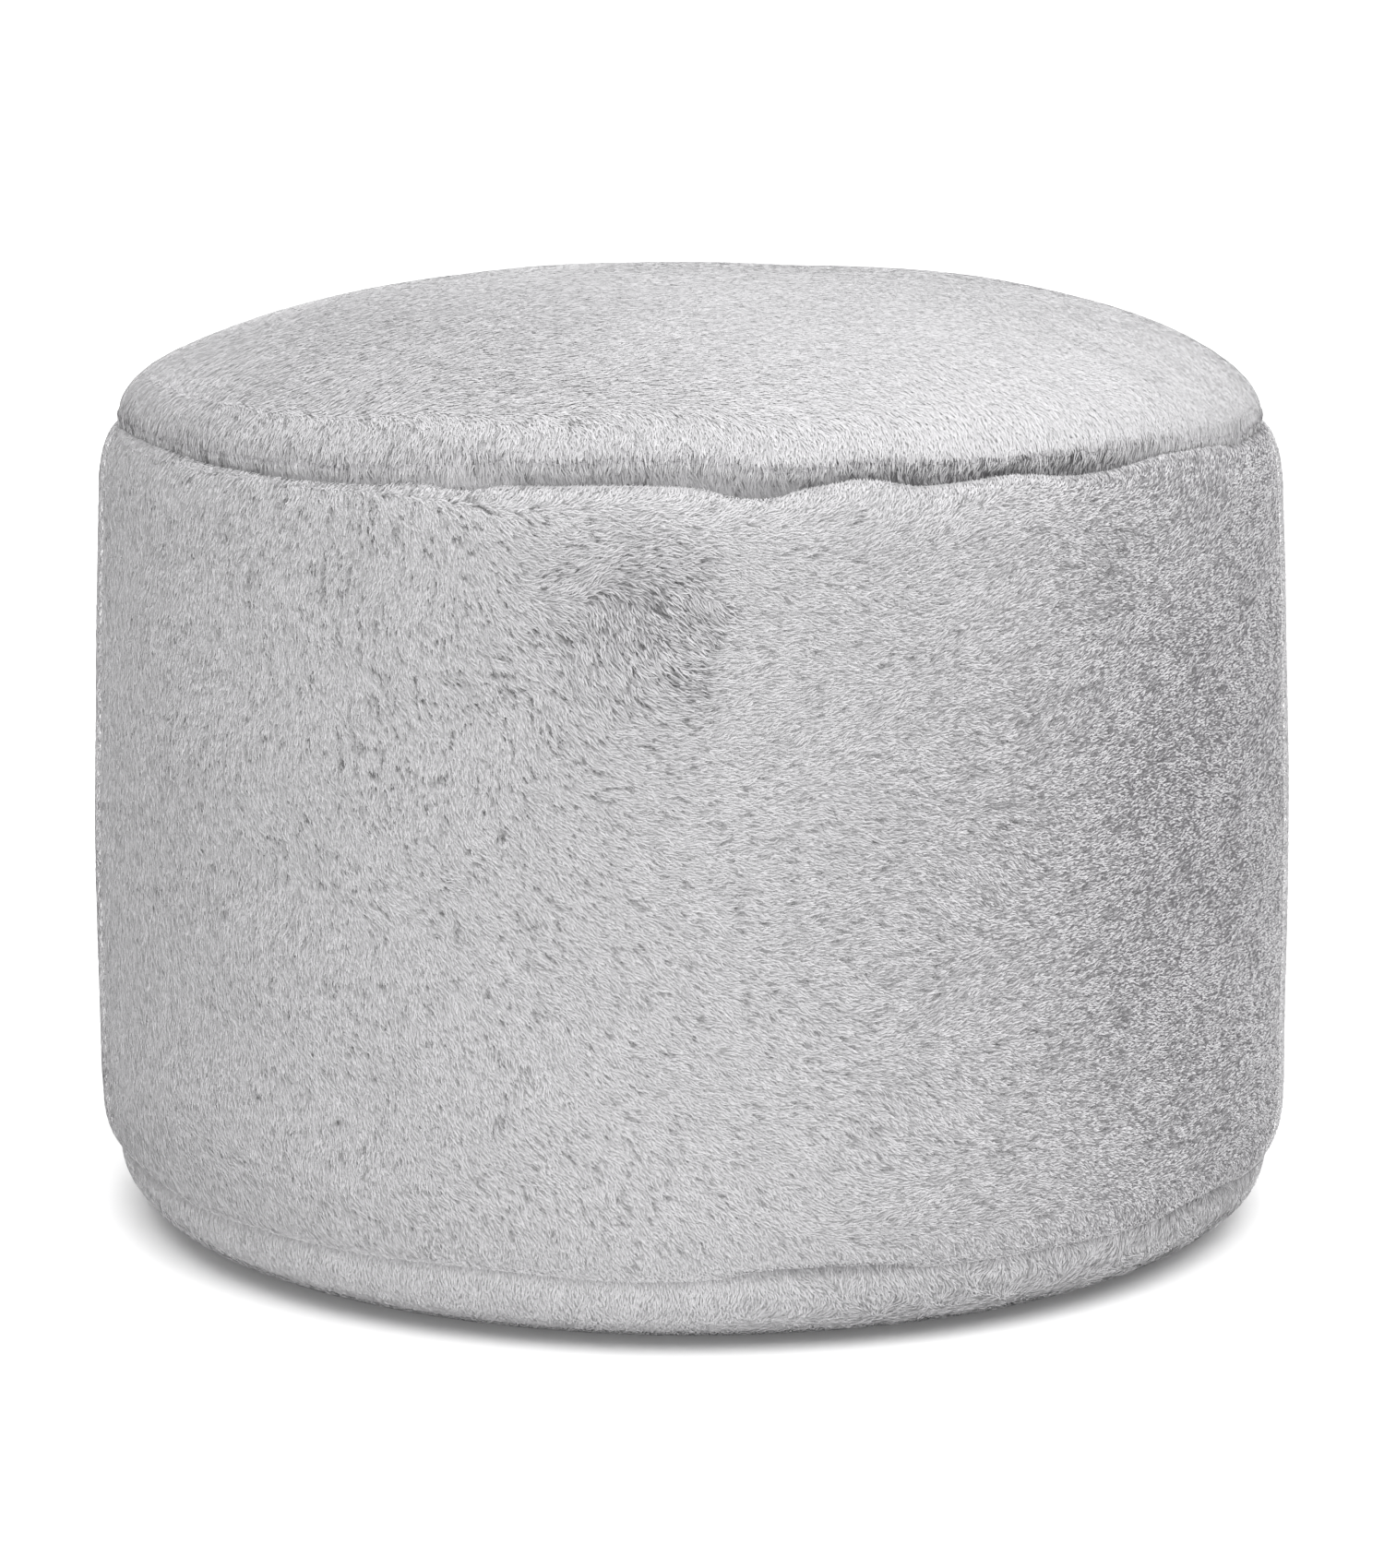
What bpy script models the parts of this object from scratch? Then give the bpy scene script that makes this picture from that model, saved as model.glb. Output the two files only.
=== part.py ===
"""Round floor pouf covered in short, dense plush pile.

Three panels are sewn into the cover, and each is modelled as a solid that holds
its share of the soft filling: a crowned top panel, a tall side band with rounded
shoulders, and a base panel whose rim curls up from the floor to meet the band.
The outer faces lie where the tips of the pile lie. Metres, +Z up, the origin on
the floor under the middle, and the front of the pouf faces -Y.
"""

import math
from collections import namedtuple

import bmesh
import bpy

# Driving sizes of the whole pouf, in metres
DIAMETER = 0.500
HEIGHT = 0.389
TOP_SEAM_HEIGHT = 0.3290
BASE_SEAM_HEIGHT = 0.0325

# Where the panels meet: each round panel sits in a shallow recess of the band
SEAM_RADIUS = 0.2322
BASE_SEAM_RADIUS = 0.2405
RECESS_DEPTH = 0.008
GAP = 0.0003

# Top panel: a crown that ends in a rolled lip over the seam
CROWN_RADIUS = 0.2347
CROWN_FULLNESS = 2.25
CROWN_TILT = 0.012
LIP_LIFT = 0.0060
LIP_ROLL = 0.0040
LIP_REACH = 0.042

# Side band: a tall straight side between a round shoulder and a tucked lower edge
SHOULDER_WIDTH = 0.0112
SHOULDER_DROP = 0.0285
TUCK_RISE = 0.0300
TOP_DRAW = 0.0060
DRAW_CURVE = 1.5

# Base panel: a rim that rolls in to the flat patch on the floor
RIM_RADIUS = 0.2425
RIM_HEIGHT = 0.0280
FLOOR_RADIUS = 0.2000

# The filling has settled a little to one side, so the top sits off the middle
LEAN = -0.0022

# Mesh fineness
SEGMENTS = 120
CROWN_STEPS = 15
SHOULDER_STEPS = 8
SIDE_STEPS = 9
TUCK_STEPS = 5
RIM_STEPS = 6

# The seam round the top, station by station. Azimuth is in degrees from the front
# towards +X. crest is how far the band's upper edge stands above the seam's mean
# height, and lip is how far the top panel's lip stands over that edge, in metres.
SeamStation = namedtuple("SeamStation", "azimuth crest lip")
SEAM_STATIONS = (
    SeamStation(-180, 0.0005, 0.0050),
    SeamStation(-150, -0.0010, 0.0040),
    SeamStation(-120, 0.0015, 0.0050),
    SeamStation(-95, 0.0010, 0.0035),
    SeamStation(-70, 0.0020, 0.0025),
    SeamStation(-52, 0.0005, 0.0030),
    SeamStation(-38, -0.0010, 0.0035),
    SeamStation(-27, 0.0002, 0.0060),
    SeamStation(-20, -0.0005, 0.0085),
    SeamStation(-12, 0.0005, 0.0055),
    SeamStation(-6, 0.0015, 0.0070),
    SeamStation(1, 0.0005, 0.0095),
    SeamStation(6, -0.0025, 0.0080),
    SeamStation(11, 0.0000, 0.0045),
    SeamStation(16, 0.0040, 0.0030),
    SeamStation(21, -0.0015, 0.0070),
    SeamStation(25, -0.0005, 0.0050),
    SeamStation(31, 0.0020, 0.0028),
    SeamStation(38, -0.0015, 0.0070),
    SeamStation(44, -0.0005, 0.0068),
    SeamStation(50, 0.0030, 0.0035),
    SeamStation(58, 0.0030, 0.0022),
    SeamStation(67, 0.0000, 0.0040),
    SeamStation(84, 0.0015, 0.0030),
    SeamStation(110, -0.0005, 0.0050),
    SeamStation(145, 0.0010, 0.0045),
)

# Gathers where the seam draws the crown in: depth and reach towards the middle in metres
Gather = namedtuple("Gather", "azimuth width depth reach")
GATHERS = (
    Gather(-138, 5.0, 0.0016, 0.050),
    Gather(-61, 5.0, 0.0012, 0.045),
    Gather(-20, 5.0, 0.0018, 0.040),
    Gather(46, 4.0, 0.0022, 0.045),
    Gather(61, 4.0, 0.0030, 0.070),
    Gather(71, 3.5, 0.0030, 0.050),
    Gather(101, 5.0, 0.0015, 0.045),
    Gather(162, 5.0, 0.0016, 0.050),
)

# Slow swells in the filling: whole waves round the pouf, waves up its height, turn and size
Swell = namedtuple("Swell", "around up turn size")
SIDE_SWELLS = (
    Swell(2, 1.0, 0.6, 0.0006),
    Swell(3, 1.6, 2.1, 0.0005),
    Swell(5, 2.3, 4.4, 0.0005),
    Swell(9, 3.1, 1.3, 0.0003),
)
CROWN_SWELLS = (
    Swell(2, 1.3, 1.9, 0.0010),
    Swell(3, 2.2, 0.4, 0.0008),
    Swell(7, 1.1, 3.0, 0.0005),
)
BASE_SEAM_WAVES = (
    Swell(4, 0.0, 0.5, 0.0007),
    Swell(9, 0.0, 2.6, 0.0009),
    Swell(14, 0.0, 5.9, 0.0006),
)

# Pale cool grey plush for all three panels: colour, roughness and metallic value
PLUSH = {
    "top_panel": ((0.66, 0.66, 0.67), 0.95, 0.0),
    "side_band": ((0.60, 0.60, 0.61), 0.95, 0.0),
    "base_panel": ((0.58, 0.58, 0.59), 0.95, 0.0),
}

RADIUS = DIAMETER / 2


def smooth_step(low, high, value):
    """0 below low, 1 above high, and a smooth ramp between them."""
    share = min(max((value - low) / (high - low), 0.0), 1.0)
    return share * share * (3 - 2 * share)


def round_the_seam(azimuth, field):
    """A seam station's field at any azimuth in degrees, eased from station to station."""
    azimuth = (azimuth + 180) % 360 - 180
    following = [s for s in SEAM_STATIONS if s.azimuth > azimuth]
    after = following[0] if following else SEAM_STATIONS[0]._replace(azimuth=180)
    before = [s for s in SEAM_STATIONS if s.azimuth <= azimuth][-1]
    share = smooth_step(before.azimuth, after.azimuth, azimuth)
    first, second = getattr(before, field), getattr(after, field)
    return first + (second - first) * share


def swell(swells, azimuth, rise):
    """Height of the slow swells at an azimuth in degrees and a share of the way up or out."""
    turn = math.radians(azimuth)
    return sum(
        s.size * math.sin(s.around * turn + s.turn) * math.cos(math.pi * s.up * rise + s.turn)
        for s in swells
    )


def quarter(centre, across, up, start, end, steps):
    """Points of an ellipse's arc from start to end, in degrees from level, with both ends."""
    points = []
    for i in range(steps + 1):
        angle = math.radians(start + (end - start) * i / steps)
        points.append((centre[0] + across * math.cos(angle), centre[1] + up * math.sin(angle)))
    return points


def crown_profile():
    """The top panel's half section, from its middle down over the lip to its underside."""
    lip_height = TOP_SEAM_HEIGHT + LIP_LIFT
    crown_rise = HEIGHT - lip_height
    points = []
    for i in range(CROWN_STEPS + 1):
        # Stations crowd towards the rim, where the crown turns down into the lip
        angle = math.pi / 2 * i / CROWN_STEPS
        reach = CROWN_RADIUS * math.sin(angle) ** (2 / CROWN_FULLNESS)
        points.append((reach, lip_height + crown_rise * math.cos(angle)))
    lip = quarter(
        (SEAM_RADIUS, lip_height), CROWN_RADIUS - SEAM_RADIUS, LIP_ROLL, 0, -90, 3
    )
    under = TOP_SEAM_HEIGHT - RECESS_DEPTH
    return points + lip[1:] + [(SEAM_RADIUS, under), (0.0, under)]


def band_profile():
    """The side band's half section, from the recess for the top panel to that for the base."""
    upper_radius = RADIUS - TOP_DRAW
    shoulder_foot = TOP_SEAM_HEIGHT - SHOULDER_DROP
    tuck_head = BASE_SEAM_HEIGHT + TUCK_RISE
    recess = TOP_SEAM_HEIGHT - RECESS_DEPTH - GAP
    points = [(0.0, recess), (SEAM_RADIUS + GAP, recess), (SEAM_RADIUS + GAP, TOP_SEAM_HEIGHT)]
    shoulder = quarter(
        (upper_radius - SHOULDER_WIDTH, shoulder_foot), SHOULDER_WIDTH, SHOULDER_DROP, 90, 0, SHOULDER_STEPS
    )
    points += shoulder[1:]
    for i in range(1, SIDE_STEPS):
        share = i / SIDE_STEPS
        radius = RADIUS - TOP_DRAW * (1 - share) ** DRAW_CURVE
        points.append((radius, shoulder_foot + (tuck_head - shoulder_foot) * share))
    tuck_width = RADIUS - BASE_SEAM_RADIUS - GAP
    tuck = quarter(
        (BASE_SEAM_RADIUS + GAP, tuck_head), tuck_width, TUCK_RISE, 0, -90, TUCK_STEPS
    )
    lower_recess = BASE_SEAM_HEIGHT + RECESS_DEPTH + GAP
    return points + tuck + [(BASE_SEAM_RADIUS + GAP, lower_recess), (0.0, lower_recess)]


def base_profile():
    """The base panel's half section, from its seam edge down round the rim to the floor."""
    head = BASE_SEAM_HEIGHT + RECESS_DEPTH
    points = [(0.0, head), (BASE_SEAM_RADIUS, head)]
    points += quarter(
        (BASE_SEAM_RADIUS, RIM_HEIGHT),
        RIM_RADIUS - BASE_SEAM_RADIUS,
        BASE_SEAM_HEIGHT - RIM_HEIGHT,
        90,
        0,
        2,
    )
    roll = quarter(
        (FLOOR_RADIUS, RIM_HEIGHT), RIM_RADIUS - FLOOR_RADIUS, RIM_HEIGHT, 0, -90, RIM_STEPS
    )
    return points + roll[1:] + [(0.0, 0.0)]


def uneven_crown(azimuth, radius, height):
    """Lifts the lip by station, draws in the gathers and adds the swells of the filling."""
    if height < TOP_SEAM_HEIGHT:
        return radius, height
    lift = round_the_seam(azimuth, "lip")
    crest = round_the_seam(azimuth, "crest")
    share = min((height - TOP_SEAM_HEIGHT) / LIP_LIFT, 1.0)
    near_rim = smooth_step(CROWN_RADIUS - LIP_REACH, SEAM_RADIUS, radius)
    height += near_rim * (crest + share * (lift - LIP_LIFT))
    inside = CROWN_RADIUS - radius
    for g in GATHERS:
        off = abs((azimuth - g.azimuth + 180) % 360 - 180) / g.width
        if off < 3 and inside < g.reach:
            dip = g.depth * math.exp(-off * off)
            height -= dip * math.sin(math.pi * max(inside, 0.0) / g.reach)
            radius -= dip / 2 * smooth_step(SEAM_RADIUS, CROWN_RADIUS, radius)
    middle = 1 - smooth_step(CROWN_RADIUS - LIP_REACH, CROWN_RADIUS, radius)
    height += middle * CROWN_TILT * radius * math.sin(math.radians(azimuth))
    # The swells fade out towards the middle, where their waves would meet in a point
    middle *= smooth_step(0.0, CROWN_RADIUS / 2, radius)
    height += middle * swell(CROWN_SWELLS, azimuth, radius / CROWN_RADIUS)
    return radius, height


def base_seam_wave(azimuth, radius, height):
    """How far the seam over the floor rises, for the edges of both panels that meet there."""
    if radius < FLOOR_RADIUS or (radius < RIM_RADIUS and height > BASE_SEAM_HEIGHT + GAP):
        return 0.0
    near = smooth_step(0.0, BASE_SEAM_HEIGHT - 0.002, height)
    near *= 1 - smooth_step(BASE_SEAM_HEIGHT + GAP, BASE_SEAM_HEIGHT + TUCK_RISE, height)
    return near * swell(BASE_SEAM_WAVES, azimuth, 0.0)


def uneven_band(azimuth, radius, height):
    """Raises and lowers the band's edges at both seams and swells its side."""
    height += base_seam_wave(azimuth, radius, height)
    shoulder = smooth_step(TOP_SEAM_HEIGHT - SHOULDER_DROP, TOP_SEAM_HEIGHT, height)
    # The recess keeps its place, and everything outside it follows the crest
    if radius > CROWN_RADIUS or height > TOP_SEAM_HEIGHT - RECESS_DEPTH / 2:
        height += shoulder * round_the_seam(azimuth, "crest")
    outside = smooth_step(CROWN_RADIUS, RADIUS - TOP_DRAW, radius)
    outside *= smooth_step(BASE_SEAM_HEIGHT + GAP, BASE_SEAM_HEIGHT + TUCK_RISE, height)
    radius += outside * swell(SIDE_SWELLS, azimuth, height / HEIGHT)
    return radius, height


def uneven_base(azimuth, radius, height):
    """Swells the rolled rim a little and leaves the wall and the floor patch true."""
    height += base_seam_wave(azimuth, radius, height)
    rolled = smooth_step(0.0, RIM_HEIGHT / 2, height)
    rolled *= 1 - smooth_step(0.7 * RIM_HEIGHT, RIM_HEIGHT, height)
    radius += 0.6 * rolled * swell(SIDE_SWELLS, azimuth, height / HEIGHT)
    return radius, height


def plush_material(name):
    """A plain Principled finish in the panel's own colour."""
    colour, roughness, metallic = PLUSH[name]
    material = bpy.data.materials.new(name + "_plush")
    material.use_nodes = True
    shader = material.node_tree.nodes["Principled BSDF"]
    shader.inputs["Base Color"].default_value = (*colour, 1.0)
    shader.inputs["Roughness"].default_value = roughness
    shader.inputs["Metallic"].default_value = metallic
    return material


def turned(name, profile, collection):
    """Turns a half section about the pouf's axis and returns the object with its mesh made real."""
    mesh = bpy.data.meshes.new(name + "_section")
    edges = [(i, i + 1) for i in range(len(profile) - 1)]
    mesh.from_pydata([(r, 0.0, z) for r, z in profile], edges, [])
    section = bpy.data.objects.new(name + "_section", mesh)
    collection.objects.link(section)
    screw = section.modifiers.new("turn", "SCREW")
    screw.axis = "Z"
    screw.angle = math.tau
    screw.steps = SEGMENTS
    screw.render_steps = SEGMENTS
    screw.use_merge_vertices = True
    screw.merge_threshold = 0.0001
    bpy.context.view_layer.update()
    graph = bpy.context.evaluated_depsgraph_get()
    solid_mesh = bpy.data.meshes.new_from_object(section.evaluated_get(graph))
    solid_mesh.name = name
    bpy.data.objects.remove(section)
    solid = bpy.data.objects.new(name, solid_mesh)
    collection.objects.link(solid)
    return solid


def shape(solid, uneven):
    """Moves each point of a turned solid as its uneven function says, and leans it with the filling."""
    shaped = bmesh.new()
    shaped.from_mesh(solid.data)
    bmesh.ops.remove_doubles(shaped, verts=shaped.verts, dist=0.00002)
    for vert in shaped.verts:
        radius = math.hypot(vert.co.x, vert.co.y)
        turn = math.atan2(vert.co.x, -vert.co.y)
        radius, height = uneven(math.degrees(turn), radius, vert.co.z)
        vert.co.x = radius * math.sin(turn) + LEAN * (height / HEIGHT - 0.5)
        vert.co.y = -radius * math.cos(turn)
        vert.co.z = height
    bmesh.ops.recalc_face_normals(shaped, faces=shaped.faces)
    shaped.to_mesh(solid.data)
    shaped.free()
    solid.data.shade_smooth()
    solid.data.set_sharp_from_angle(angle=math.radians(50))


def build():
    """Makes the three panels in a collection of their own."""
    for leftover in list(bpy.data.objects):
        bpy.data.objects.remove(leftover)
    collection = bpy.data.collections.new("plush_pouf")
    bpy.context.scene.collection.children.link(collection)
    panels = (
        ("top_panel", crown_profile(), uneven_crown),
        ("side_band", band_profile(), uneven_band),
        ("base_panel", base_profile(), uneven_base),
    )
    for name, profile, uneven in panels:
        solid = turned(name, profile, collection)
        shape(solid, uneven)
        solid.data.materials.clear()
        solid.data.materials.append(plush_material(name))


build()
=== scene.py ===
import math
from collections import namedtuple

import bpy
import numpy as np
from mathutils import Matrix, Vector
from mathutils.bvhtree import BVHTree
from mathutils.kdtree import KDTree


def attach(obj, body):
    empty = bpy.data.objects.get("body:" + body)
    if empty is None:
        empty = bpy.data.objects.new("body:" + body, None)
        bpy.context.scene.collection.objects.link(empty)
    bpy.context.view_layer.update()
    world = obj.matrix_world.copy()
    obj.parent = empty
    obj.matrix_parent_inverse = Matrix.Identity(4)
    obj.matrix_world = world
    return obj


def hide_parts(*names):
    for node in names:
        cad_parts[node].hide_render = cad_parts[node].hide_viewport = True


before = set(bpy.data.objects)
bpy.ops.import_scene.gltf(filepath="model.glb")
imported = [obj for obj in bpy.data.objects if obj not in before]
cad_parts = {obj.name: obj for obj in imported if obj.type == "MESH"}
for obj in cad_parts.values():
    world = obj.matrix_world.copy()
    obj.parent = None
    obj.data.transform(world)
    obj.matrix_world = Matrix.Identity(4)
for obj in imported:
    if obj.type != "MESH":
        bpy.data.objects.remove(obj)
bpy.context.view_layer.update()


# Base panel: a round of plush sewn to the foot of the band. Its rim rolls up off the
# floor, so the pile shows as a low strip in front, and it is pressed flat underneath.
# The backing that carries the pile is a woven ground, one pile's depth below the tips.

PILE_DEPTH = 0.0022
COLUMNS = 360
Station = namedtuple("Station", "core_radius core_height angle")


def skin_rows(node, stations):
    """Rows of points on a solid's outside, one row for each station and a column for each azimuth."""
    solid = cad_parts[node]
    tree = BVHTree.FromPolygons(
        [v.co.copy() for v in solid.data.vertices],
        [tuple(p.vertices) for p in solid.data.polygons],
    )
    reach = 0.12
    rows = np.zeros((len(stations), COLUMNS, 3))
    for i, s in enumerate(stations):
        across, up = math.cos(math.radians(s.angle)), math.sin(math.radians(s.angle))
        for j in range(COLUMNS):
            turn = math.tau * j / COLUMNS - math.pi
            outward = Vector((math.sin(turn), -math.cos(turn), 0.0))
            core = outward * s.core_radius + Vector((0.0, 0.0, s.core_height))
            aim = outward * across + Vector((0.0, 0.0, up))
            hit = tree.ray_cast(core + aim * reach, -aim, reach)[0]
            rows[i, j] = hit or core
    return rows


def arc(core_radius, core_height, first, last, count):
    """Stations that share a core and fan from the first angle to the last."""
    angles = np.linspace(first, last, count)
    return [Station(core_radius, core_height, a) for a in angles]


def smoothed(rows, times):
    """Rows softened along each row and from row to row, with the end rows left where they are."""
    rows = rows.copy()
    for _ in range(times):
        rows = 0.5 * rows + 0.25 * (np.roll(rows, 1, axis=1) + np.roll(rows, -1, axis=1))
        middle = 0.5 * rows[1:-1] + 0.25 * (rows[:-2] + rows[2:])
        rows[1:-1] = middle
    return rows


def eased(share):
    """A share from 0 to 1 that starts and ends gently."""
    return share * share * (3 - 2 * share)


def mesh_values(mesh, key):
    """A mesh's places or normals, one row of three numbers for each vertex."""
    values = np.zeros(len(mesh.vertices) * 3)
    mesh.vertices.foreach_get(key, values)
    return values.reshape(-1, 3)


def filled_out(rows, node, freedom, slack):
    """Rows moved as the filling swells the panel's cover, which is held ever firmer towards its seams."""
    cover = bpy.data.objects.new(node + "_cover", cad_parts[node].data.copy())
    bpy.context.scene.collection.objects.link(cover)
    even = cover.modifiers.new("even_faces", "REMESH")
    even.mode = "VOXEL"
    even.voxel_size = 0.006
    remeshed = cover.evaluated_get(bpy.context.evaluated_depsgraph_get())
    cover.data = bpy.data.meshes.new_from_object(remeshed)
    cover.modifiers.clear()

    # The cover starts a little smaller than the panel, and is cut a little larger than it
    places = mesh_values(cover.data, "co")
    normals = mesh_values(cover.data, "normal")
    free = eased(freedom(places, normals))
    start = places - normals * slack * free[:, None]
    cover.data.vertices.foreach_set("co", start.ravel())
    cover.data.update()
    sewn = cover.vertex_groups.new(name="sewn")
    for held in np.linspace(0.1, 1.0, 10):
        chosen = np.abs(1 - free - held) <= 0.05
        sewn.add(np.flatnonzero(chosen).tolist(), held, "REPLACE")
    cloth = cover.modifiers.new("filling", "CLOTH")
    cloth.settings.quality = 5
    cloth.settings.mass = 0.3
    cloth.settings.tension_stiffness = 15
    cloth.settings.compression_stiffness = 15
    cloth.settings.shear_stiffness = 5
    cloth.settings.bending_stiffness = 5
    cloth.settings.use_pressure = True
    cloth.settings.uniform_pressure_force = 4
    cloth.settings.shrink_min = -0.006
    cloth.settings.effector_weights.gravity = 0
    cloth.settings.vertex_group_mass = "sewn"
    cloth.collision_settings.use_collision = False
    for step in range(1, 21):
        bpy.context.scene.frame_set(step)
    swollen = cover.evaluated_get(bpy.context.evaluated_depsgraph_get())
    shaped = bpy.data.meshes.new_from_object(swollen)
    moved = mesh_values(shaped, "co") - places
    bpy.data.objects.remove(cover)
    bpy.data.meshes.remove(shaped)
    bpy.context.scene.frame_set(1)

    # The panel was measured full, so the even part of the swelling is taken back, and what is
    # left is its unevenness. The rows follow the points nearest to them.
    cap = 0.0007
    neighbours = 4
    even_part = ((moved * normals).sum(1) * free).sum() / (free * free).sum()
    moved -= normals * even_part * free[:, None]
    length = np.linalg.norm(moved, axis=1, keepdims=True)
    moved *= np.minimum(1, cap / np.maximum(length, 1e-9))
    tree = KDTree(len(places))
    for i, place in enumerate(places):
        tree.insert(place, i)
    tree.balance()
    shift = np.zeros_like(rows)
    for i, j in np.ndindex(*rows.shape[:2]):
        near = tree.find_n(rows[i, j], neighbours)
        weight = np.array([1 / (distance + 0.001) for _, _, distance in near])
        shift[i, j] = weight @ moved[[index for _, index, _ in near]] / weight.sum()
    return rows + smoothed(shift, 30)


def unit(vectors):
    """Vectors of length one."""
    length = np.linalg.norm(vectors, axis=-1, keepdims=True)
    return vectors / np.maximum(length, 1e-9)


def outward_at(places):
    """The level way out from the pouf's axis at each place."""
    return unit(places * [1, 1, 0])


def azimuth_at(places):
    """Degrees round the pouf at each place, from the front towards +X."""
    return np.degrees(np.arctan2(places[:, 0], -places[:, 1]))


class Skin:
    """A panel's outer surface as a grid, and how deep the pile is at each of its rows."""

    def __init__(self, rows):
        self.rows = rows
        steps = np.linalg.norm(np.diff(rows, axis=0), axis=2).mean(axis=1)
        self.along = np.concatenate([[0.0], np.cumsum(steps)])
        self.radius = np.hypot(rows[..., 0], rows[..., 1]).mean(axis=1)
        down = np.gradient(rows, self.along, axis=0)
        rightward = np.roll(rows, -1, axis=1) - np.roll(rows, 1, axis=1)
        self.normals = unit(np.cross(down, rightward))
        self.depth = np.full(len(rows), PILE_DEPTH)

    def read(self, grid, along, turn):
        """The grid's value at distances along it and turns in radians, with even blending."""
        row = np.interp(along, self.along, np.arange(len(self.along)))
        i = np.minimum(row.astype(int), len(self.along) - 2)
        a = (row - i)[:, None]
        column = (turn + math.pi) / math.tau * COLUMNS
        j = np.floor(column).astype(int)
        b = (column - j)[:, None]
        j %= COLUMNS
        k = (j + 1) % COLUMNS
        upper = grid[i, j] * (1 - b) + grid[i, k] * b
        lower = grid[i + 1, j] * (1 - b) + grid[i + 1, k] * b
        return upper * (1 - a) + lower * a


def scattered(skin, spacing, rng, first=0.0, last=None):
    """Places spread evenly over a skin, a spacing apart with some chance: distances along it and turns."""
    last = skin.along[-1] if last is None else last
    along, turn = [], []
    for centre in np.arange(first, last, spacing):
        radius = np.interp(centre, skin.along, skin.radius)
        count = max(int(round(math.tau * radius / spacing)), 3)
        along.append(centre + (rng.random(count) - 0.5) * spacing)
        turn.append((np.arange(count) + rng.random(count)) / count * math.tau - math.pi)
    along = np.clip(np.concatenate(along), first, last)
    return along, np.concatenate(turn)


def ripple(places, wavelength, seed):
    """A soft random field between about -1 and 1 with features about a wavelength across."""
    rng = np.random.default_rng(seed)
    total = np.zeros(len(places))
    for _ in range(9):
        heading = unit(rng.normal(size=3))
        scale = wavelength * rng.uniform(0.7, 1.5)
        total += np.sin(places @ heading * math.tau / scale + rng.uniform(0, math.tau))
    return total / 3.2


def grain(places, size, seed):
    """Chance values from -1 to 1 on a lattice of cells of a size, blended smoothly between them."""
    table = np.random.default_rng(seed).uniform(-1, 1, 8192)
    cell = np.floor(places / size).astype(np.int64)
    part = eased(places / size - cell)
    total = 0.0
    for corner in np.ndindex(2, 2, 2):
        i, j, k = (cell + corner).T
        weight = np.where(corner, part, 1 - part).prod(axis=1)
        total = total + weight * table[(i * 73856093 ^ j * 19349663 ^ k * 83492791) & 8191]
    return total


def streaks(foot, heading, size, length, seed):
    """Chance values drawn out along the pile, so that they run in strokes of a length."""
    steps = np.linspace(-0.5, 0.5, 7) * length
    total = sum(grain(foot + heading * step, size, seed) for step in steps)
    return total / total.std()


# How the pile lies at each point: the way it points, how flat it lies from 0 to 1, how uneven
# its tips are and how darkly its partings are painted with shade, from 0 up, how much of the
# shaded roots shows between them and how much painted shade darkens the pile there, from 0 to 1,
# how far the tips stand above the panel's face in metres, and how long the tufts are
TUFT_LENGTH = 0.0028
TUFT_WIDTH = 0.00072
Comb = namedtuple("Comb", "heading lean loft roots lift length", defaults=(0.0, 0.0, TUFT_LENGTH))


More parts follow.
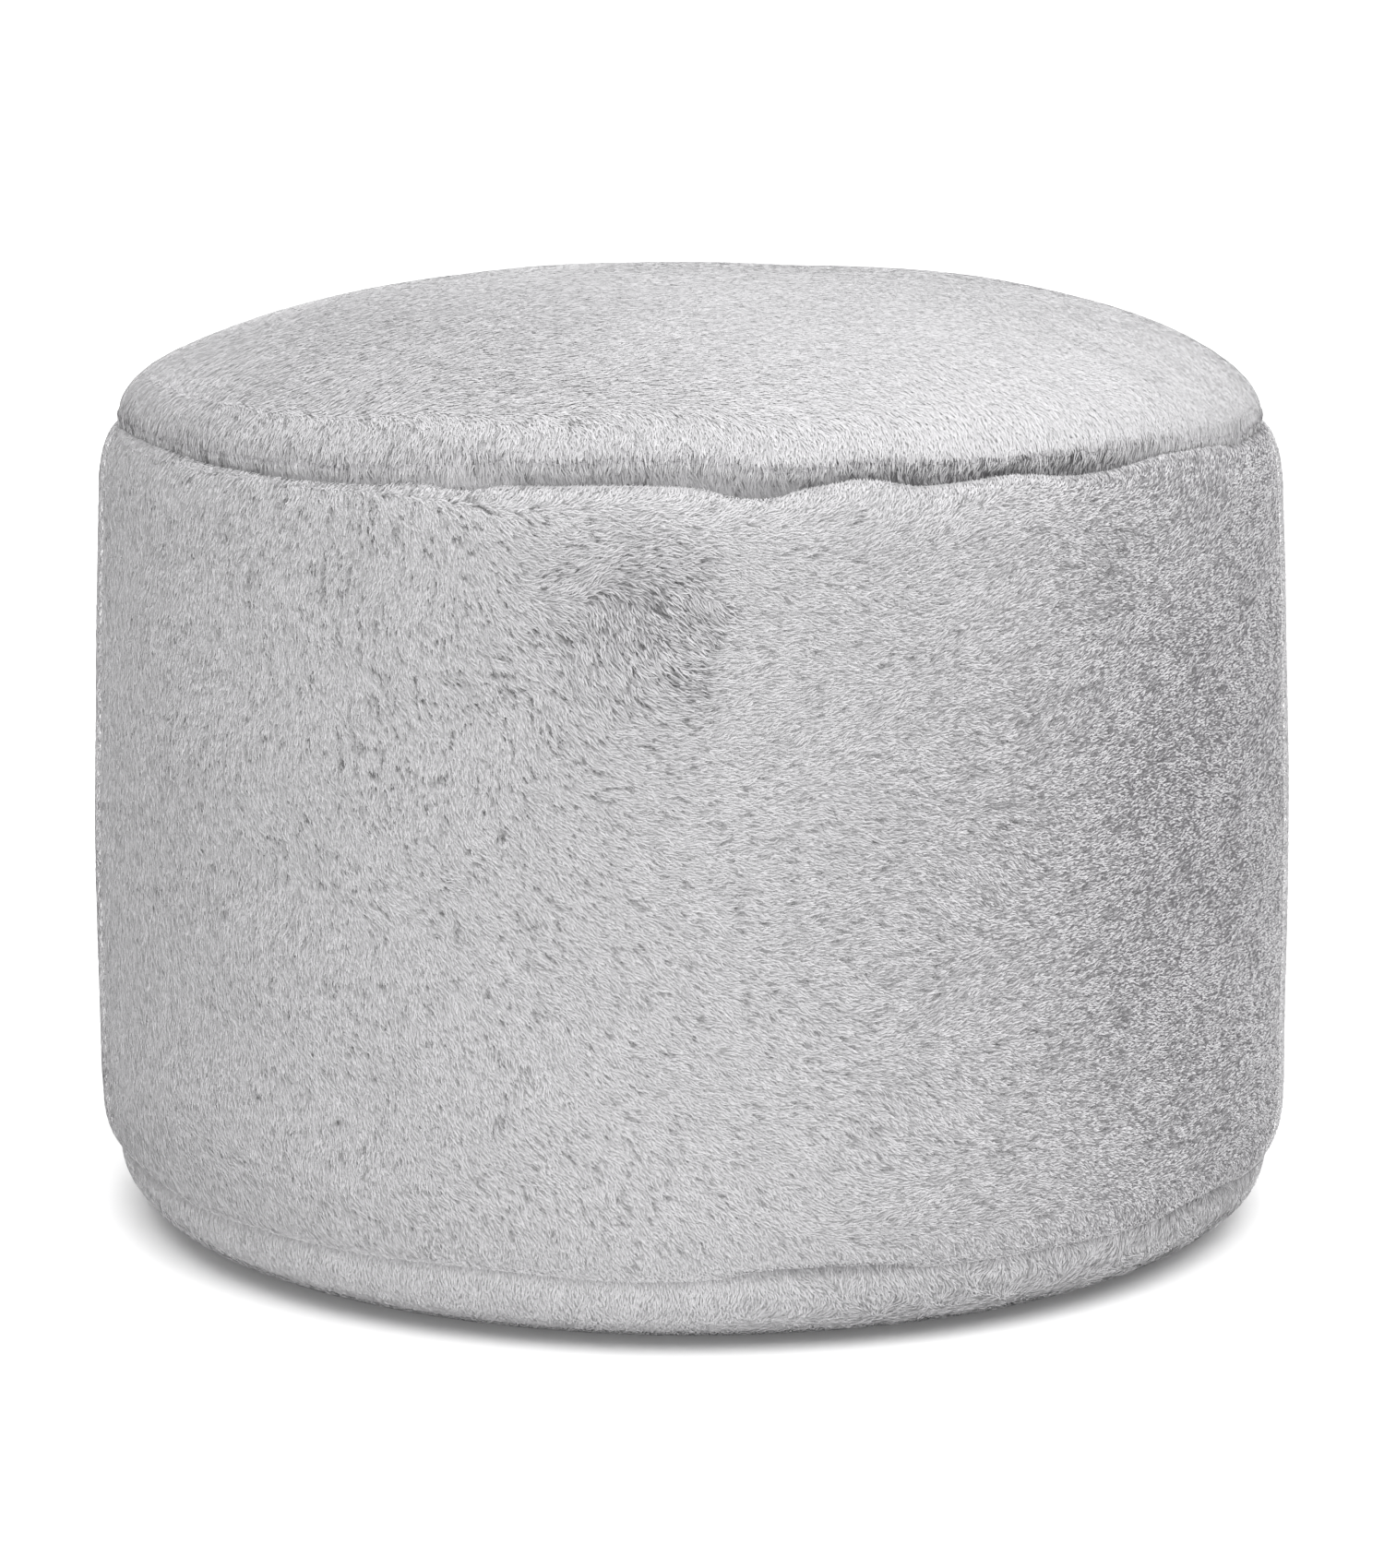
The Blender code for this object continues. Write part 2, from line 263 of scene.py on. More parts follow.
def pile(name, skin, along, turn, comb, rng, width=TUFT_WIDTH):
    """Mesh of fine tapered tufts that stand on the backing and lie over the way they are combed."""
    foot = skin.read(skin.rows, along, turn)
    normal = unit(skin.read(skin.normals, along, turn))
    depth = np.interp(along, skin.along, skin.depth)[:, None]
    way = comb(foot, normal)
    heading = unit(way.heading - normal * (way.heading * normal).sum(1)[:, None])
    side = np.cross(normal, heading)

    # Neighbouring tufts lean together, so the pile parts into small locks
    lock = 0.16 * ripple(foot, 0.006, 11) + 0.16 * ripple(foot, 0.014, 12)
    swing = (lock + rng.normal(0.0, 0.20, len(foot)))[:, None]
    heading = unit(heading * np.cos(swing) + side * np.sin(swing))
    side = np.cross(normal, heading)
    parting = streaks(foot, heading, 0.0009, 0.0028, 13)
    crack = streaks(foot, heading, 0.0018, 0.009, 14)
    clump = 0.8 * grain(foot, 0.0011, 16) + 0.5 * grain(foot, 0.0019, 17)
    clump += 0.18 * grain(foot, 0.006, 18) + 0.14 * grain(foot, 0.018, 19)
    dip = 0.4 * np.clip(-parting - 0.8, 0, 1.5) + 0.5 * way.roots * np.clip(-clump, 0, 1)
    rise = 1 - np.minimum(way.loft, 1.2) * (rng.triangular(-0.12, 0.0, 0.4, len(foot)) + dip)
    rise = np.clip(rise, 0.25, 1.12)[:, None]
    lean = np.clip(way.lean, 0.05, 1.0)[:, None]
    foot = foot + normal * np.reshape(way.lift, (-1, 1))

    # A tuft that lies flat shows only its bent-over end, and one that stands shows down to its root
    run = np.reshape(way.length, (-1, 1)) * lean * rng.uniform(0.75, 1.2, (len(foot), 1))
    tip = foot - normal * depth * (1 - rise) + heading * run * 0.6
    root = tip - heading * run - normal * (0.0001 + depth * (1 - lean) ** 1.5)
    twist = (0.08 + 0.5 * (1 - lean)) * rng.normal(0.0, 1.0, (len(foot), 1))
    blade = unit(side * np.cos(twist) + normal * np.sin(twist)) * width / 2
    facing = unit(np.cross(blade, tip - root))
    outer = np.sign((facing * normal).sum(1))[:, None]
    blade, facing = blade * outer, facing * outer
    points = np.stack([root - blade, root + blade, tip], axis=1)
    points[..., 2] = np.maximum(points[..., 2], 0.0)
    count = len(foot)

    mesh = bpy.data.meshes.new(name)
    mesh.vertices.add(count * 3)
    mesh.vertices.foreach_set("co", points.astype(np.float32).ravel())
    mesh.loops.add(count * 3)
    mesh.loops.foreach_set("vertex_index", np.arange(count * 3, dtype=np.int32))
    mesh.polygons.add(count)
    mesh.polygons.foreach_set("loop_start", np.arange(0, count * 3, 3, dtype=np.int32))
    mesh.update(calc_edges=True)

    # Across the map runs how light a tuft is, and up it runs the way from root to tip
    # Tufts in partings and cracks are painted darker with shade between the locks, and the speckle darkens
    # them with painted shade where the roots show
    dark = 0.28 * np.clip(-parting - 0.4, 0, 2) + 0.05 * rng.exponential(1.0, count)
    dark = dark + 0.25 * np.clip(-crack - 1.2, 0, 1.5) * np.clip(way.loft - 0.9, 0, 1)
    root_shade_speckle = way.roots * (0.22 + 0.20 * rng.normal(size=count) - 0.85 * clump)
    tone = 0.88 + 0.03 * ripple(foot, 0.012, 15)
    tone = tone + rng.normal(0.0, 0.045, count) * (0.4 + 0.6 * np.minimum(way.loft, 1))
    tone = tone - np.minimum(way.loft, 1.6) * dark - root_shade_speckle
    tone = np.clip(tone, 0.02, 0.96)[:, None]
    across = tone + np.array([0.0, 0.02, 0.01])
    height = np.tile([0.02, 0.02, 0.98], (count, 1))
    layer = mesh.uv_layers.new(name="OFBake")
    layer.data.foreach_set("uv", np.stack([across, height], axis=2).astype(np.float32).ravel())

    # Tufts take the light as the soft surface that they make together
    soft = unit(normal * 0.88 + facing * 0.12 + rng.normal(0.0, 0.04, (count, 3)))
    mesh.shade_smooth()
    mesh.normals_split_custom_set_from_vertices(np.repeat(soft, 3, axis=0).tolist())
    piece = bpy.data.objects.new(name, mesh)
    bpy.context.scene.collection.objects.link(piece)
    return piece


class Socket:
    """A value on its way to a shader; arithmetic with it adds Math nodes to its finish."""

    def __init__(self, finish, output):
        self.finish = finish
        self.output = output

    def math(self, operation, a, b):
        return self.finish.node("ShaderNodeMath", {"operation": operation}, {0: a, 1: b}, "Value")

    def __add__(self, other):
        return self.math("ADD", self, other)

    def __radd__(self, other):
        return self.math("ADD", other, self)

    def __sub__(self, other):
        return self.math("SUBTRACT", self, other)

    def __rsub__(self, other):
        return self.math("SUBTRACT", other, self)

    def __mul__(self, other):
        return self.math("MULTIPLY", self, other)

    def __rmul__(self, other):
        return self.math("MULTIPLY", other, self)

    def __pow__(self, other):
        return self.math("POWER", self, other)

    def __rpow__(self, other):
        return self.math("POWER", other, self)


class Finish:
    """A new material, and the one way in which its nodes are added."""

    def __init__(self, name, roughness):
        self.material = bpy.data.materials.new(name)
        self.material.use_nodes = True
        self.tree = self.material.node_tree
        self.shader = self.tree.nodes["Principled BSDF"]
        self.fill(self.shader, {"Roughness": roughness, "Specular IOR Level": 0.15})

    def fill(self, node, sockets):
        """Sets a node's sockets to values, or links them to other sockets."""
        for key, value in sockets.items():
            slot = node.inputs[key]
            if isinstance(value, Socket):
                self.tree.links.new(value.output, slot)
            else:
                slot.default_value = value

    def node(self, kind, settings, sockets, *outputs):
        """Adds a node, its settings first and its sockets next, and returns the outputs named."""
        node = self.tree.nodes.new(kind)
        for key, value in settings.items():
            setattr(node, key, value)
        self.fill(node, sockets)
        named = [Socket(self, node.outputs[output]) for output in outputs]
        return named if len(named) > 1 else named[0]


def plush_finish(name, root, tip):
    """Matt pile that runs from a shaded root colour to a pale tip, a little lighter or darker by tuft."""
    finish = Finish(name, 0.95)
    place = finish.node("ShaderNodeUVMap", {"uv_map": "OFBake"}, {}, "UV")
    tone, rise = finish.node("ShaderNodeSeparateXYZ", {}, {"Vector": place}, "X", "Y")
    ends = {"Factor": rise ** 1.3, "A": (*root, 1.0), "B": (*tip, 1.0)}
    blend = finish.node("ShaderNodeMix", {"data_type": "RGBA"}, ends, "Result")
    level = 0.30 + tone * 0.78
    grey = finish.node("ShaderNodeCombineColor", {}, {0: level, 1: level, 2: level}, "Color")
    settings = {"data_type": "RGBA", "blend_type": "MULTIPLY"}
    shade = finish.node("ShaderNodeMix", settings, {"Factor": 1.0, "A": blend, "B": grey}, "Result")
    finish.fill(finish.shader, {"Base Color": shade})
    return finish.material


def ground_finish(name, pale, dark):
    """The mass of the pile under its tips: pale where it lies flat and painted darker with shade where the
    roots show.
    """
    finish = Finish(name, 1.0)
    place = finish.node("ShaderNodeTexCoord", {}, {}, "Object")
    speck = finish.node(
        "ShaderNodeTexNoise", {}, {"Vector": place, "Scale": 600.0, "Detail": 2.0}, "Fac"
    )
    shown = finish.node("ShaderNodeAttribute", {"attribute_name": "roots"}, {}, "Fac")
    ends = {"Factor": shown + speck * 0.7 - 0.35, "A": (*pale, 1.0), "B": (*dark, 1.0)}
    blend = finish.node("ShaderNodeMix", {"data_type": "RGBA"}, ends, "Result")
    finish.fill(finish.shader, {"Base Color": blend})
    return finish.material


def backing(name, skin, comb, material):
    """A panel's ground and the filling behind it as one closed mesh, a pile's depth under the tips."""
    every_third = skin.rows[:, ::3]
    rows, columns = every_third.shape[:2]
    outer = every_third.reshape(-1, 3)
    normal = skin.normals[:, ::3].reshape(-1, 3)
    depth = np.repeat(skin.depth, columns)[:, None]
    way = comb(outer, normal)
    inner = outer + normal * (np.reshape(way.lift, (-1, 1)) - depth)
    points = inner.tolist()
    # How much painted shade darkens the ground at each point, where the roots show
    roots = (np.zeros(len(points)) + way.roots).tolist()
    faces = []
    for i in range(rows - 1):
        for j in range(columns):
            k = (j + 1) % columns
            faces.append((i * columns + j, (i + 1) * columns + j, (i + 1) * columns + k, i * columns + k))
    for row in (0, rows - 1):
        ring = [row * columns + j for j in range(columns)]
        points.append(inner[ring].mean(axis=0).tolist())
        roots.append(roots[ring[0]])
        hub = len(points) - 1
        for a, b in zip(ring, ring[1:] + ring[:1]):
            faces.append((hub, a, b) if row == 0 else (hub, b, a))
    mesh = bpy.data.meshes.new(name)
    mesh.from_pydata(points, [], faces)
    mesh.shade_smooth()
    mesh.materials.append(material)
    shown = mesh.attributes.new("roots", "FLOAT", "POINT")
    shown.data.foreach_set("value", roots)
    piece = bpy.data.objects.new(name, mesh)
    bpy.context.scene.collection.objects.link(piece)
    return piece


SEAM_REACH = 0.012


def near_seam(gap):
    """How deep the pile stands for its distance from a seam: shallow in the stitching, then full."""
    return 0.25 + 0.75 * eased(np.clip(gap / SEAM_REACH, 0, 1))


def settle(piece, material=None):
    """Puts a piece on the pouf's one body and in its plush slot."""
    if material:
        piece.data.materials.append(material)
    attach(piece, "root")


BASE_CORE = 0.215
base_stations = [Station(BASE_CORE, z, 0) for z in (0.0385, 0.0365, 0.0345)]
base_stations += arc(BASE_CORE, 0.024, 19, -90, 24)
base_stations += [Station(r, 0.02, -90) for r in np.linspace(BASE_CORE - 0.02, 0.004, 8)]
base_rows = smoothed(skin_rows("base_panel", base_stations), 3)


def base_freedom(place, normal):
    """From 0 to 1, how free the cover is to swell: most in the rim, between the seam and the floor."""
    outward = (outward_at(place) * normal).sum(1)
    middle = np.minimum(place[:, 2] - 0.002, 0.030 - place[:, 2]) / 0.012
    return np.clip(middle, 0, 1) * np.clip(outward * 3, 0, 1)


base_skin = Skin(filled_out(base_rows, "base_panel", base_freedom, 0.0005))

# The root grey and the ground's dark grey are painted shade, for the depth of the pile under the tips
SHADED_ROOT_GREY = (0.41, 0.403, 0.416)
TIP_GREY = (0.745, 0.745, 0.748)
GROUND_PALE = (0.62, 0.62, 0.623)
GROUND_SHADE = (0.20, 0.192, 0.205)
plush = plush_finish("plush_pile", SHADED_ROOT_GREY, TIP_GREY)
ground = ground_finish("plush_ground", GROUND_PALE, GROUND_SHADE)


def base_comb(foot, normal):
    """The rim's pile hangs down towards the floor, waved and painted darker with shade on its right, with
    a painted shadow line along its top under the band's hem, and lies flat underneath.
    """
    down = np.tile([0.0, 0.0, -1.0], (len(foot), 1))
    outward = outward_at(foot)
    heading = down + outward * (0.2 + 1.2 * np.clip(-normal[:, 2:3], 0, 1))
    azimuth = azimuth_at(foot)
    waved_and_shaded = np.clip(azimuth / 25, 0, 1) * np.clip((100 - azimuth) / 20, 0, 1)
    rightward = np.cross([0.0, 0.0, 1.0], outward)
    heading = heading + rightward * (waved_and_shaded * 1.1 * ripple(foot, 0.018, 24))[:, None]
    # A painted shadow line darkens the pile just below the band's hem, at the top of the rim
    hem_shadow = np.clip((foot[:, 2] - 0.029) / 0.004, 0, 1)
    flat = np.full(len(foot), 0.9)
    return Comb(heading, flat, 0.45 + 0.5 * waved_and_shaded, 0.35 * waved_and_shaded + 0.30 * hem_shadow)


# The ground comes up to the seam at the rim's edge, and the pile is pressed thin where it is stood on
base_height = base_skin.rows[..., 2].mean(axis=1)
base_seam = base_skin.along[3]
pressed = 1 - 0.5 * np.clip((0.011 - base_height) / 0.010, 0, 1)
base_skin.depth *= near_seam(base_skin.along - base_seam) * pressed
base_backing = backing("base_panel_backing", base_skin, base_comb, ground)
settle(base_backing)
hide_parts("base_panel")

TUFT_SPACING = 0.00095
rim_end = base_seam + 0.060
rng = np.random.default_rng(31)
along, turn = scattered(base_skin, TUFT_SPACING, rng, first=base_seam - 0.002, last=rim_end)
settle(pile("base_panel_pile", base_skin, along, turn, base_comb, rng), plush)

# Underneath the tufts are matted together, so there are fewer of them and they are broader
MATTED_SPACING = 0.0017
MATTED_WIDTH = 0.0016
along, turn = scattered(base_skin, MATTED_SPACING, rng, first=rim_end)
underside = pile("base_panel_pile_underside", base_skin, along, turn, base_comb, rng, width=MATTED_WIDTH)
settle(underside, plush)


# Side band: one long strip of plush sewn into a ring, pulled tight over the filling
# between the two seams. Handling has brushed its pile different ways round the side.

BAND_CORE = 0.222
BAND_RADIUS = 0.247
band_stations = arc(BAND_CORE, 0.300, 69.5, 0, 26)
band_stations += [Station(BAND_CORE, z, 0) for z in np.linspace(0.290, 0.075, 40)]
band_stations += arc(BAND_CORE, 0.065, 0, -59, 22)
band_rows = smoothed(skin_rows("side_band", band_stations), 3)


def band_freedom(place, normal):
    """From 0 at the band's two seams and inner side to 1 half-way up its outer face."""
    outward = (outward_at(place) * normal).sum(1)
    middle = np.minimum(place[:, 2] - 0.040, 0.325 - place[:, 2]) / 0.060
    return np.clip(middle, 0, 1) * np.clip(outward * 2, 0, 1)


band_skin = Skin(filled_out(band_rows, "side_band", band_freedom, 0.0015))
band_skin.depth *= near_seam(band_skin.along) * near_seam(band_skin.along[-1] - band_skin.along)

# Where the pile was brushed which way: azimuth in degrees from the front towards +X and
# height up the band in metres; turn in degrees, 0 to the right and 90 up; lean, how flat it
# lies; roots and painted shade, how much of the roots shows and how much the pile is painted
# darker with shade there; ticks, how strongly small partings break it, lowering the tufts and
# painting them darker with shade
Brushed = namedtuple("Brushed", "azimuth height turn lean roots ticks")
BRUSHED = (
    Brushed(-80, 0.25, -88, 0.90, 0.00, 0.5),
    Brushed(-80, 0.08, -80, 0.90, 0.00, 0.5),
    Brushed(-50, 0.30, -95, 0.85, 0.04, 1.7),
    Brushed(-50, 0.18, -84, 0.85, 0.06, 1.6),
    Brushed(-50, 0.06, -62, 0.90, 0.04, 1.2),
    Brushed(-25, 0.31, -95, 0.80, 0.06, 2.1),
    Brushed(-25, 0.22, -80, 0.80, 0.08, 1.8),
    Brushed(-25, 0.13, -62, 0.85, 0.05, 1.3),
    Brushed(-22, 0.05, -55, 0.90, 0.04, 1.1),
    Brushed(-8, 0.32, 20, 0.90, 0.00, 0.5),
    Brushed(-10, 0.15, -40, 0.85, 0.05, 0.8),
    Brushed(-5, 0.06, -40, 0.85, 0.02, 0.8),
    Brushed(8, 0.26, -4, 0.85, 0.16, 0.8),
    Brushed(8, 0.16, -12, 0.85, 0.20, 0.8),
    Brushed(12, 0.06, -18, 0.85, 0.14, 0.8),
    Brushed(20, 0.32, 18, 0.85, 0.20, 0.6),
    Brushed(25, 0.26, 10, 0.82, 0.58, 0.8),
    Brushed(25, 0.16, 0, 0.82, 0.60, 0.8),
    Brushed(28, 0.06, -8, 0.82, 0.45, 0.8),
    Brushed(48, 0.31, 30, 0.80, 0.70, 0.6),
    Brushed(50, 0.24, 10, 0.76, 1.08, 0.6),
    Brushed(50, 0.14, 10, 0.76, 1.05, 0.6),
    Brushed(50, 0.06, 0, 0.78, 0.80, 0.7),
    Brushed(76, 0.24, 10, 0.78, 1.00, 0.6),
    Brushed(76, 0.08, 0, 0.78, 0.90, 0.6),
    Brushed(104, 0.16, 0, 0.80, 0.30, 0.7),
    Brushed(130, 0.20, 0, 0.80, 0.12, 0.8),
    Brushed(130, 0.08, -20, 0.80, 0.10, 0.8),
    Brushed(180, 0.24, -40, 0.80, 0.10, 0.9),
    Brushed(180, 0.08, -50, 0.85, 0.05, 0.9),
    Brushed(-130, 0.22, -75, 0.85, 0.05, 0.9),
    Brushed(-130, 0.08, -70, 0.85, 0.05, 0.9),
)
# The same for a patch the size of a palm, where a hand has pushed the pile up against itself
TOUSLED = (
    Brushed(-9.9, 0.301, 50, 0.75, 0.35, 1.5),
    Brushed(-4.6, 0.304, 40, 0.70, 0.40, 1.5),
    Brushed(-1.1, 0.299, 0, 0.70, 0.45, 1.5),
    Brushed(1.5, 0.291, -50, 0.80, 0.50, 1.6),
    Brushed(1.9, 0.281, -35, 0.80, 0.50, 1.6),
    Brushed(-3.8, 0.291, -80, 0.50, 0.75, 1.4),
    Brushed(-7.6, 0.281, -95, 0.60, 0.60, 1.5),
    Brushed(-11.5, 0.267, -85, 0.75, 0.40, 1.6),
    Brushed(-7.6, 0.257, -75, 0.80, 0.35, 1.6),
    Brushed(-3.8, 0.257, -60, 0.80, 0.40, 1.6),
    Brushed(-0.8, 0.274, -30, 0.60, 0.55, 1.5),
)
TOUSLE_AZIMUTH = -4.6
TOUSLE_HEIGHT = 0.281
TOUSLE_RADIUS = 0.030
CRESCENT_TURN = -2


def blended(places, azimuth, height, reach):
    """The way right, the way up, the lean, the roots and painted shade, and the ticks at each point, from
    places near it.
    """
    total = np.zeros(len(azimuth))
    values = np.zeros((5, len(azimuth)))
    for b in places:
        away = (azimuth - b.azimuth + 180) % 360 - 180
        gap = (np.radians(away) * BAND_RADIUS) ** 2 + (height - b.height) ** 2
        weight = np.exp(-gap / (2 * reach ** 2)) + 1e-12
        turn = math.radians(b.turn)
        values += weight * np.array([math.cos(turn), math.sin(turn), b.lean, b.roots, b.ticks])[:, None]
        total += weight
    return values / total


def band_comb(foot, normal):
    """Blends the brushed places near each point, then the tousled patch over them."""
    azimuth = azimuth_at(foot)
    rightward = unit(np.stack([-foot[:, 1], foot[:, 0], 0 * foot[:, 0]], axis=1))
    upward = np.cross(normal, rightward)
    side = blended(BRUSHED, azimuth, foot[:, 2], 0.045)

    # The patch ends in a crescent of tufts that stand over the smooth pile beside them
    across = np.radians(azimuth - TOUSLE_AZIMUTH) * BAND_RADIUS
    above = foot[:, 2] - TOUSLE_HEIGHT
    away = np.hypot(across, above) + 0.003 * ripple(foot, 0.014, 23)
    crescent = np.clip(0.1 + np.cos(np.arctan2(above, across) - math.radians(CRESCENT_TURN)), 0, 1)
    inside = 1 / (1 + np.exp((away - TOUSLE_RADIUS) / (0.0018 + 0.008 * (1 - crescent))))
    lift = 0.0022 * inside * crescent * np.clip(away / TOUSLE_RADIUS, 0, 1) ** 2
    patch = blended(TOUSLED, azimuth, foot[:, 2], 0.009)
    right, up, lean, roots, ticks = side * (1 - inside) + patch * inside
    drift = 0.30 * ripple(foot, 0.07, 21)
    right, up = right * np.cos(drift) - up * np.sin(drift), right * np.sin(drift) + up * np.cos(drift)
    # A painted shadow darkens the smooth pile just outside the crescent
    shadow = np.exp(-((away - TOUSLE_RADIUS - 0.001) / 0.0016) ** 2) * crescent
    roots = roots + 0.5 * shadow
    heading = rightward * right[:, None] + upward * up[:, None]

    # Along the foot the pile hangs over the base panel's seam
    hem = np.clip((0.052 - foot[:, 2]) / 0.010, 0, 1)[:, None]
    heading = heading * (1 - 0.6 * hem) + [0.0, 0.0, -0.6] * hem
    lift = lift + 0.0009 * hem[:, 0]

    # At the crest the pile turns up and over into the seam
    crest = np.clip((normal[:, 2] - 0.25) / 0.5, 0, 1)[:, None] * (foot[:, 2:3] > 0.2)
    inward = unit(foot * [-1, -1, 0])
    heading = heading * (1 - 0.7 * crest) + (inward + [0.0, 0.0, 0.5]) * 0.7 * crest
    length = TUFT_LENGTH - 0.0009 * np.clip(roots, 0, 1) * (1 - inside) + 0.0020 * inside
    return Comb(heading, lean, ticks, roots, lift, length)


band_backing = backing("side_band_backing", band_skin, band_comb, ground)
settle(band_backing)
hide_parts("side_band")

along, turn = scattered(band_skin, TUFT_SPACING, rng)
sector = ((turn + math.pi) / (math.tau / 4)).astype(int) % 4
for i, name in enumerate(("back_left", "front_left", "front_right", "back_right")):
    chosen = sector == i
    piece = pile("side_band_pile_" + name, band_skin, along[chosen], turn[chosen], band_comb, rng)
    settle(piece, plush)


# Top panel: a round of plush over the crown of the filling. Its edge turns down into
# the seam, where the pile hangs over the band's crest as a narrow shaded strip.

LIP_CORE = 0.205
top_stations = [Station(r, 0.33, 90) for r in np.linspace(0.0015, LIP_CORE, 44)]
top_stations += arc(LIP_CORE, 0.332, 86, -6, 34)
top_stations += [Station(LIP_CORE, z, 0) for z in np.linspace(0.3285, 0.3215, 6)]
top_rows = smoothed(skin_rows("top_panel", top_stations), 2)


def top_freedom(place, normal):
    """From 0 at the seam and underneath to 1 in the middle of the crown."""
    inside = 0.228 - np.hypot(place[:, 0], place[:, 1])
    return np.clip(inside / 0.060, 0, 1) * np.clip(normal[:, 2] * 2, 0, 1)


def open_seam(azimuth):
    """Where the seam gapes, from 0 to 1: round the front, and a little way round to the right."""
    return 1 / (1 + np.exp(-(azimuth + 20) / 2)) / (1 + np.exp((azimuth - 48) / 4))


# The strip below the rim is drawn in towards the seam, so the rim's pile hangs over it
top_rows = filled_out(top_rows, "top_panel", top_freedom, 0.0015)
rim = np.hypot(top_rows[..., 0], top_rows[..., 1]).argmax(axis=0)
rim_height = top_rows[rim, np.arange(COLUMNS), 2]
drawn_in = 0.0036 * open_seam(np.linspace(-180, 180, COLUMNS, endpoint=False)) - 0.0016
drawn_in = drawn_in * np.clip((rim_height - 0.0006 - top_rows[..., 2]) / 0.0018, 0, 1)
top_rows[..., :2] -= unit(top_rows[..., :2]) * drawn_in[..., None]

# A faint crease runs over the crown on the left, where it has been sat on
crease_from, crease_to = np.array([-0.105, -0.068]), np.array([-0.015, -0.142])
crease_run = crease_to - crease_from
crease_share = ((top_rows[..., :2] - crease_from) @ crease_run) / (crease_run @ crease_run)
crease_near = crease_from + np.clip(crease_share, 0, 1)[..., None] * crease_run
crease_gap = np.linalg.norm(top_rows[..., :2] - crease_near, axis=-1)
CREASE_DEPTH = 0.0010
CREASE_WIDTH = 0.009
top_rows[..., 2] -= CREASE_DEPTH * np.exp(-(crease_gap / CREASE_WIDTH) ** 2)

# The pile stands less deep on the crown than on the band, and is shallow in the seam
top_skin = Skin(top_rows)
top_skin.normals *= np.sign(top_skin.normals[0, 0, 2])
top_seam = top_skin.along[-4]
top_skin.depth *= 0.6 * near_seam(top_seam - top_skin.along)


def top_comb(foot, normal):
    """Sweeps the pile over the crown in a shallow arch from left to right, and down at the lip."""
    sweep = np.radians(35 - 75 * (foot[:, 0] / 0.24 + 1) / 2) + 0.35 * ripple(foot, 0.08, 22)
    heading = np.stack([np.cos(sweep), np.sin(sweep), 0 * sweep], axis=1)
    radius = np.hypot(foot[:, 0], foot[:, 1])
    edge = np.clip((radius - 0.218) / 0.014, 0, 1)[:, None]
    outward = outward_at(foot)
    strip = np.clip(1 - normal[:, 2] / 0.25, 0, 1)
    over = outward * (1 - strip[:, None]) + [0.0, 0.0, -0.5]
    heading = heading * (1 - edge) + over * edge
    azimuth = azimuth_at(foot)
    gape = open_seam(azimuth)
    # The crown's left has coarser partings and, with its front, painted shade; the strip under the rim is
    # painted darker, most a little to the right of the front; and a painted shadow runs just under the rim
    # where the seam gapes
    painted_strip_shade = np.exp(-((azimuth - 31) / 14) ** 2)
    rim_shadow = gape * np.exp(-((normal[:, 2] - 0.12) / 0.10) ** 2)
    coarse_and_shaded = np.exp(-((azimuth + 50) / 40) ** 2) * np.clip(radius / 0.1 - 0.5, 0, 1)
    front = np.exp(-((azimuth + 5) / 30) ** 2) * np.clip((radius - 0.15) / 0.06, 0, 1)
    ticks = 0.10 + 1.1 * coarse_and_shaded + 0.4 * front + 0.7 * strip
    roots = 0.18 * coarse_and_shaded + 0.12 * front + strip * (0.06 + 2.2 * painted_strip_shade) + 0.6 * rim_shadow
    return Comb(heading, 1 - 0.3 * strip, ticks, roots, 0.0, TUFT_LENGTH + 0.0046 * strip)


top_backing = backing("top_panel_backing", top_skin, top_comb, ground)
settle(top_backing)
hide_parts("top_panel")

along, turn = scattered(top_skin, TUFT_SPACING, rng, last=top_seam + 0.002)
for name, chosen in (("left", turn < 0), ("right", turn >= 0)):
    piece = pile("top_panel_pile_" + name, top_skin, along[chosen], turn[chosen], top_comb, rng)
    settle(piece, plush)


# Studio: a plain white floor under soft light from above and in front, and the camera
# where the photographer stood, a little above the pouf and looking down on it.

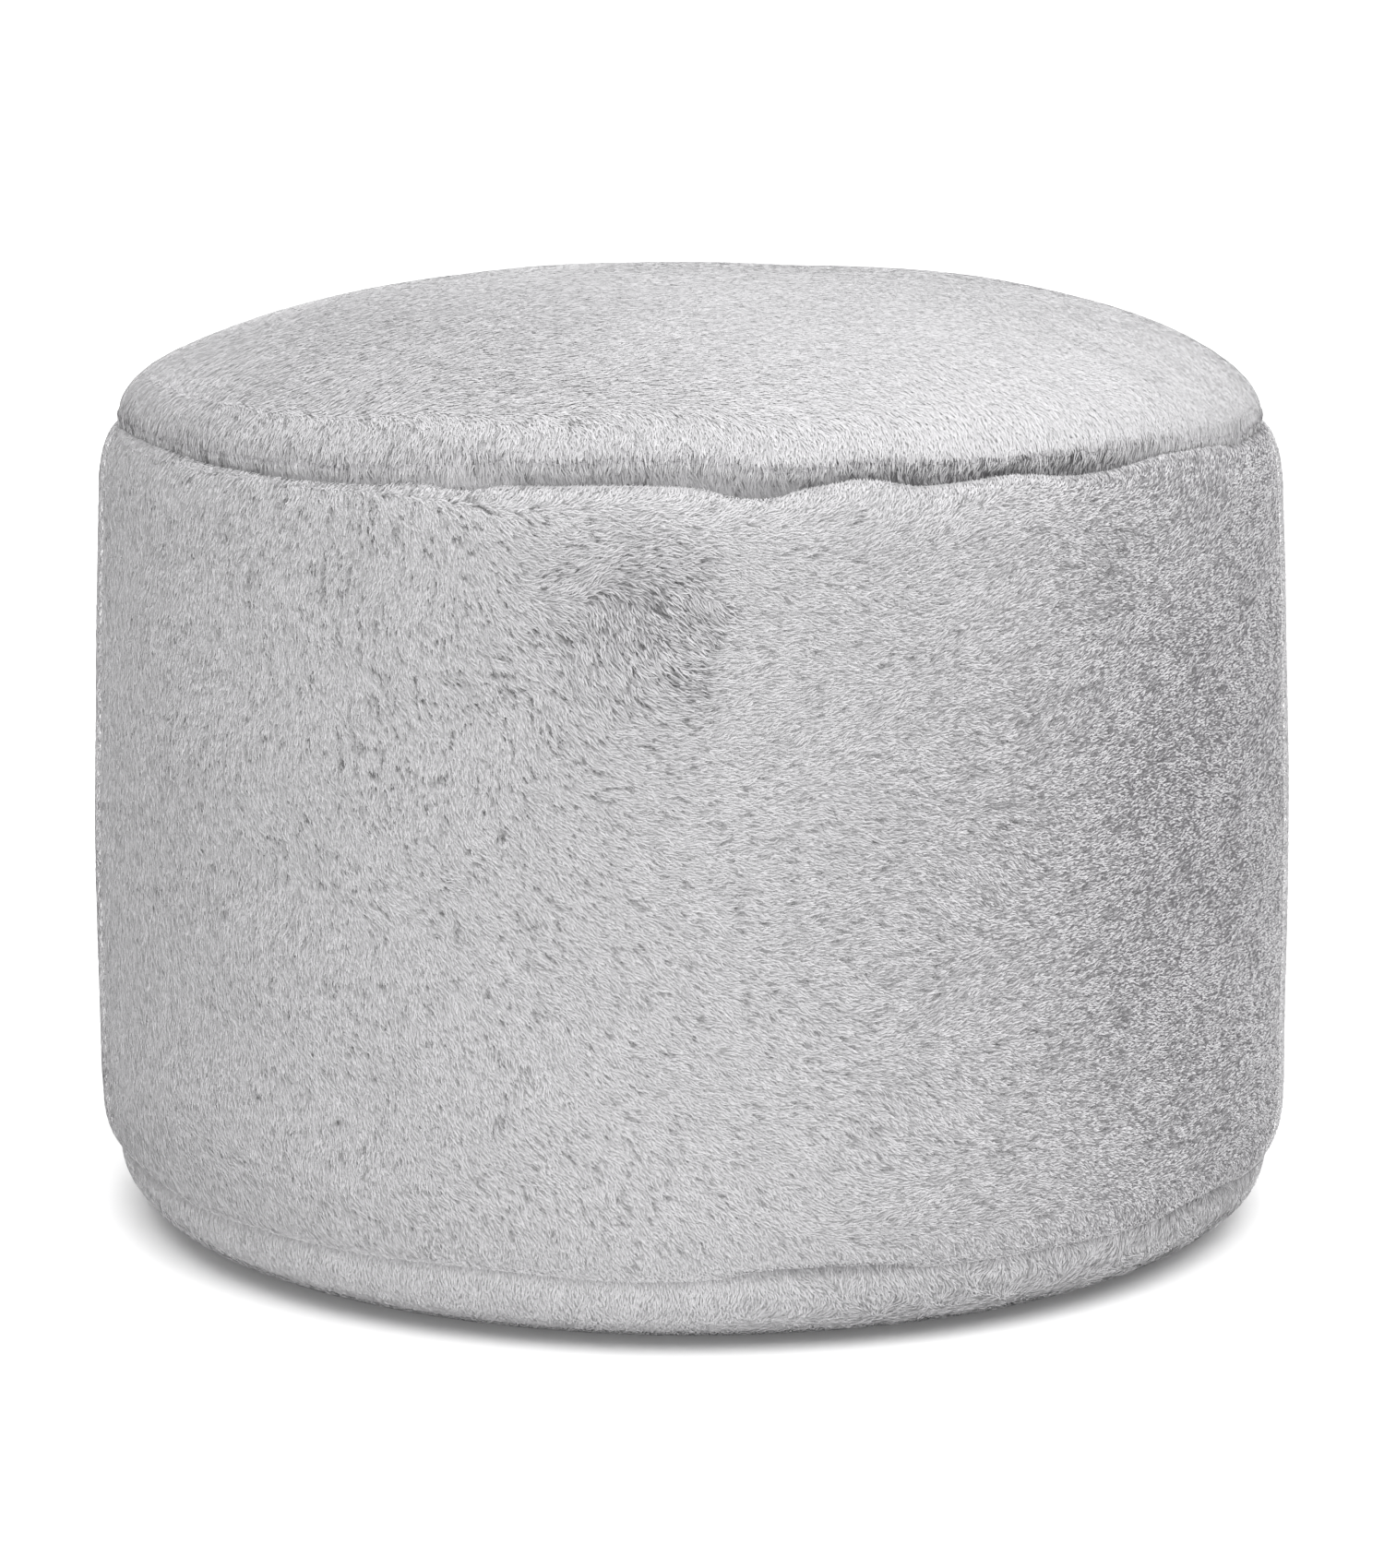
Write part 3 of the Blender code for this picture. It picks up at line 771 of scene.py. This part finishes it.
SENSOR_WIDTH = 36
FOCAL_PIXELS = 5000
PHOTO_HEIGHT = 1700
camera_data = bpy.data.cameras.new("camera")
camera_data.sensor_width = SENSOR_WIDTH
camera_data.lens = FOCAL_PIXELS * SENSOR_WIDTH / PHOTO_HEIGHT
camera = bpy.data.objects.new("camera", camera_data)
camera.location = (0.0, -1.9008, 0.5434)
camera.rotation_euler = (math.radians(90 - 10.983), 0.0, 0.0)
bpy.context.scene.collection.objects.link(camera)
bpy.context.scene.camera = camera

FLOOR_REACH = 60
floor_corners = [(x * FLOOR_REACH, y * FLOOR_REACH, 0) for x, y in ((-1, -1), (1, -1), (1, 1), (-1, 1))]
floor_mesh = bpy.data.meshes.new("studio_floor")
floor_mesh.from_pydata(floor_corners, [], [(0, 1, 2, 3)])
floor = bpy.data.objects.new("studio_floor", floor_mesh)
floor.location.z = -0.0002
bpy.context.scene.collection.objects.link(floor)
floor_finish = Finish("studio_white", 0.9)
floor_finish.fill(floor_finish.shader, {
    "Base Color": (0.90, 0.90, 0.90, 1.0),
    "Emission Color": (1.0, 1.0, 1.0, 1.0),
    "Emission Strength": 0.08,
})
floor_mesh.materials.append(floor_finish.material)

# Each softbox's strength, its spread, and how far it stands to the front and to the right
Softbox = namedtuple("Softbox", "name energy spread front right")
for softbox in (
    Softbox("overhead_softbox", 5.2, 74, 18, 6),
    Softbox("front_softbox", 0.6, 40, 80, -10),
    Softbox("back_softbox", 0.7, 40, -72, 0),
):
    light = bpy.data.lights.new(softbox.name, "SUN")
    light.energy = softbox.energy
    light.angle = math.radians(softbox.spread)
    lamp = bpy.data.objects.new(softbox.name, light)
    lamp.rotation_euler = (math.radians(softbox.front), math.radians(softbox.right), 0.0)
    bpy.context.scene.collection.objects.link(lamp)

world = bpy.data.worlds.new("studio_room")
world.use_nodes = True
world.node_tree.nodes["Background"].inputs["Color"].default_value = (1.0, 1.0, 1.0, 1.0)
world.node_tree.nodes["Background"].inputs["Strength"].default_value = 0.17
bpy.context.scene.world = world
bpy.context.scene.view_settings.view_transform = "Standard"
